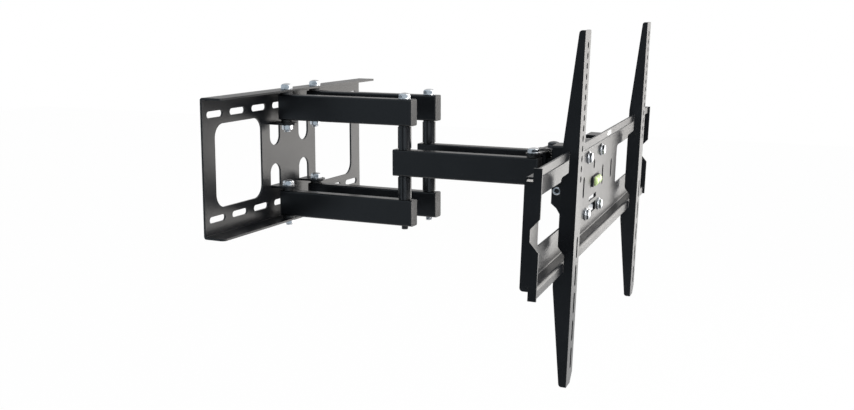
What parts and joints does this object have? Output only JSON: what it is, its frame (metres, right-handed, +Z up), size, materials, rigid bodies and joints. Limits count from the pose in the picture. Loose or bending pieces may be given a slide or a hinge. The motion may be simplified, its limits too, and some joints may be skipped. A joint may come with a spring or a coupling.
{
  "type": "tv mount",
  "caption": "Full-motion television wall mount: folding steel arm pairs on a slotted wall plate carry a swivelling, tilting screen plate with sliding slotted brackets.",
  "frame": {"origin": "centre of the wall plate's back face, on the wall", "axes": "+Y into the wall, the room is towards -Y, +X to the right seen from the room, +Z up"},
  "size_m": [0.7894, 0.5625, 0.4398],
  "materials": {
    "coat": "satin",
    "zinc": "satin",
    "plug": "matte",
    "bush": "matte",
    "vial": "gloss"
  },
  "bodies": {
    "wall": {"wall_plate": "coat", "upper_shoulder_bolts": "zinc", "upper_shoulder_nuts": "zinc", "lower_shoulder_bolts": "zinc", "lower_shoulder_nuts": "zinc", "shoulder_washers": "bush"},
    "left_arm": {"left_upper_arm": "coat", "left_lower_arm": "coat", "left_arm_caps": "plug", "left_shoulder_bushes": "bush", "left_elbow_spacers": "coat", "left_elbow_bolt": "zinc", "left_elbow_nut": "zinc"},
    "right_arm": {"right_upper_arm": "coat", "right_lower_arm": "coat", "right_arm_caps": "plug", "right_shoulder_bushes": "bush", "right_elbow_spacers": "coat", "right_elbow_bolt": "zinc", "right_elbow_nut": "zinc"},
    "left_fore": {"left_forearm": "coat", "left_forearm_caps": "plug", "left_forearm_bushes": "bush"},
    "right_fore": {"right_forearm": "coat", "right_forearm_caps": "plug", "right_forearm_bushes": "bush"},
    "wrist": {"yoke": "coat", "wrist_bolts": "zinc", "wrist_nuts": "zinc", "wrist_washers": "bush", "swivel_pin": "zinc", "swivel_collar": "zinc"},
    "head": {"knuckle": "coat", "tilt_bolts": "zinc", "tilt_nuts": "zinc"},
    "screen": {"screen_plate": "coat", "left_tilt_bracket": "coat", "right_tilt_bracket": "coat", "plate_bolts": "zinc", "plate_washers": "zinc", "plate_nuts": "zinc", "level_vial": "vial", "level_caps": "plug"},
    "left_hanger": {"left_screen_bracket": "coat"},
    "right_hanger": {"right_screen_bracket": "coat"}
  },
  "joints": [
    {"name": "left_shoulder", "type": "hinge", "parent": "wall", "child": "left_arm", "pos_m": [-0.0415, -0.0255, 0], "axis": [0, 0, 1], "range_deg": [-80, 0]},
    {"name": "right_shoulder", "type": "hinge", "parent": "wall", "child": "right_arm", "pos_m": [0.0415, -0.0255, 0], "axis": [0, 0, 1], "range_deg": [0, 80]},
    {"name": "left_elbow", "type": "hinge", "parent": "left_arm", "child": "left_fore", "pos_m": [-0.0415, -0.2255, 0], "axis": [0, 0, 1], "range_deg": [0, 160]},
    {"name": "right_elbow", "type": "hinge", "parent": "right_arm", "child": "right_fore", "pos_m": [0.0415, -0.2255, 0], "axis": [0, 0, 1], "range_deg": [-160, 0]},
    {"name": "left_wrist", "type": "hinge", "parent": "left_fore", "child": "wrist", "pos_m": [-0.0415, -0.4255, 0], "axis": [0, 0, 1], "range_deg": [-80, 0]},
    {"name": "swivel", "type": "hinge", "parent": "wrist", "child": "head", "pos_m": [0, -0.4255, 0], "axis": [0, 0, 1], "range_deg": [-24.75, 11.25]},
    {"name": "tilt", "type": "hinge", "parent": "head", "child": "screen", "pos_m": [0.00298, -0.45072, -0.02885], "axis": [0.9931, 0.1175, 0], "range_deg": [-7, 10]},
    {"name": "left_slide", "type": "slide", "parent": "screen", "child": "left_hanger", "axis": [0.9931, 0.1175, 0], "range_m": [-0.14, 0.15]},
    {"name": "right_slide", "type": "slide", "parent": "screen", "child": "right_hanger", "axis": [0.9931, 0.1175, 0], "range_m": [-0.15, 0.11]}
  ],
  "couplings": [
    {"joint": "right_shoulder", "follows": "left_shoulder", "ratio": -1},
    {"joint": "left_elbow", "follows": "left_shoulder", "ratio": -2},
    {"joint": "right_elbow", "follows": "left_shoulder", "ratio": 2},
    {"joint": "left_wrist", "follows": "left_shoulder", "ratio": 1}
  ]
}
